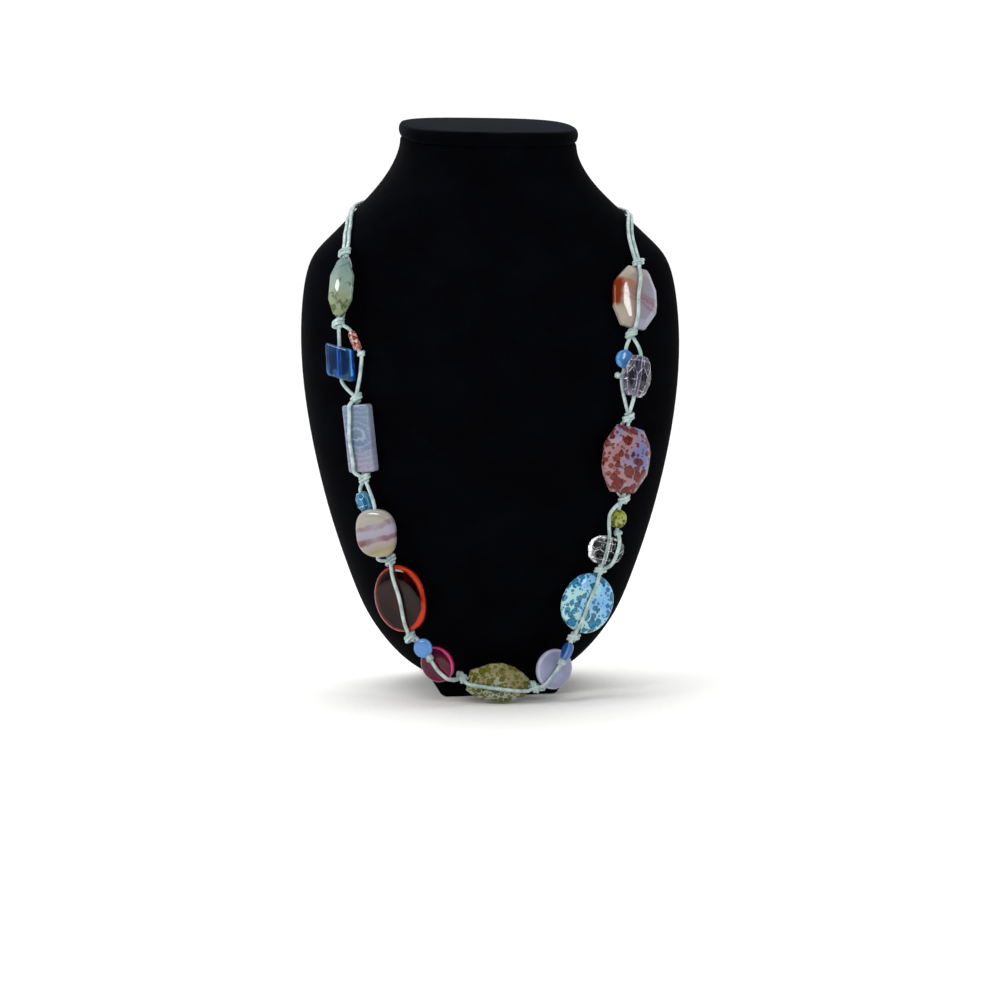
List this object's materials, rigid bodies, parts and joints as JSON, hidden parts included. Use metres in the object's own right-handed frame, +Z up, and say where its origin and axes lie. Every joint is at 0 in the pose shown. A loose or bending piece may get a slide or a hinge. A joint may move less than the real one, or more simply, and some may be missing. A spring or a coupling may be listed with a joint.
{
  "type": "beaded necklace on neck display bust",
  "caption": "Long knotted necklace of mixed glass and stone beads on two pale cords, shown on a plain black velvet neck bust that stands on a low foot.",
  "frame": {"origin": "centre of the footprint of the whole, on the plane that the foot stands on", "axes": "+Z up, +Y to the back of the bust, so that its chest and the beads face -Y, +X to the right seen from the front"},
  "size_m": [0.1966, 0.1268, 0.2971],
  "materials": {
    "black_velvet": "short pile, matt",
    "waxed_cord": "pale mint, smooth and slightly waxy",
    "pale_green_agate": "polished, faceted",
    "mottled_pink_glass": "polished",
    "clear_blue_glass": "polished, see-through",
    "lace_agate": "polished",
    "aqua_glass": "polished, faceted, see-through",
    "banded_cream_glass": "polished",
    "clear_red_glass": "polished, see-through at the rim",
    "sky_blue_glass": "polished",
    "magenta_glass": "polished, see-through",
    "olive_spotted_glass": "polished, faceted",
    "lilac_glass": "polished",
    "deep_blue_glass": "polished",
    "sky_spotted_glass": "polished",
    "clear_glass": "polished, faceted, see-through",
    "green_mottled_glass": "polished",
    "red_spotted_glass": "polished, faceted",
    "smoky_glass": "polished, faceted, see-through",
    "pale_blue_glass": "polished",
    "pink_banded_glass": "polished, faceted"
  },
  "bodies": {
    "root": {"bust_body": "black_velvet", "neck_cap": "black_velvet", "bust_foot": "black_velvet", "cord_left": "waxed_cord", "cord_right": "waxed_cord", "cord_nape": "waxed_cord", "green_faceted_bead": "pale_green_agate", "small_mottled_bead": "mottled_pink_glass", "blue_slab_bead": "clear_blue_glass", "lace_bar_bead": "lace_agate", "aqua_faceted_bead": "aqua_glass", "banded_pebble_bead": "banded_cream_glass", "red_oval_bead": "clear_red_glass", "blue_coin_bead": "sky_blue_glass", "magenta_disc_bead": "magenta_glass", "olive_faceted_bead": "olive_spotted_glass", "lilac_disc_bead": "lilac_glass", "navy_coin_bead": "deep_blue_glass", "sky_spotted_bead": "sky_spotted_glass", "clear_rondelle_bead": "clear_glass", "green_coin_bead": "green_mottled_glass", "red_spotted_bead": "red_spotted_glass", "smoky_faceted_bead": "smoky_glass", "pale_blue_coin_bead": "pale_blue_glass", "pink_banded_bead": "pink_banded_glass"}
  },
  "joints": []
}
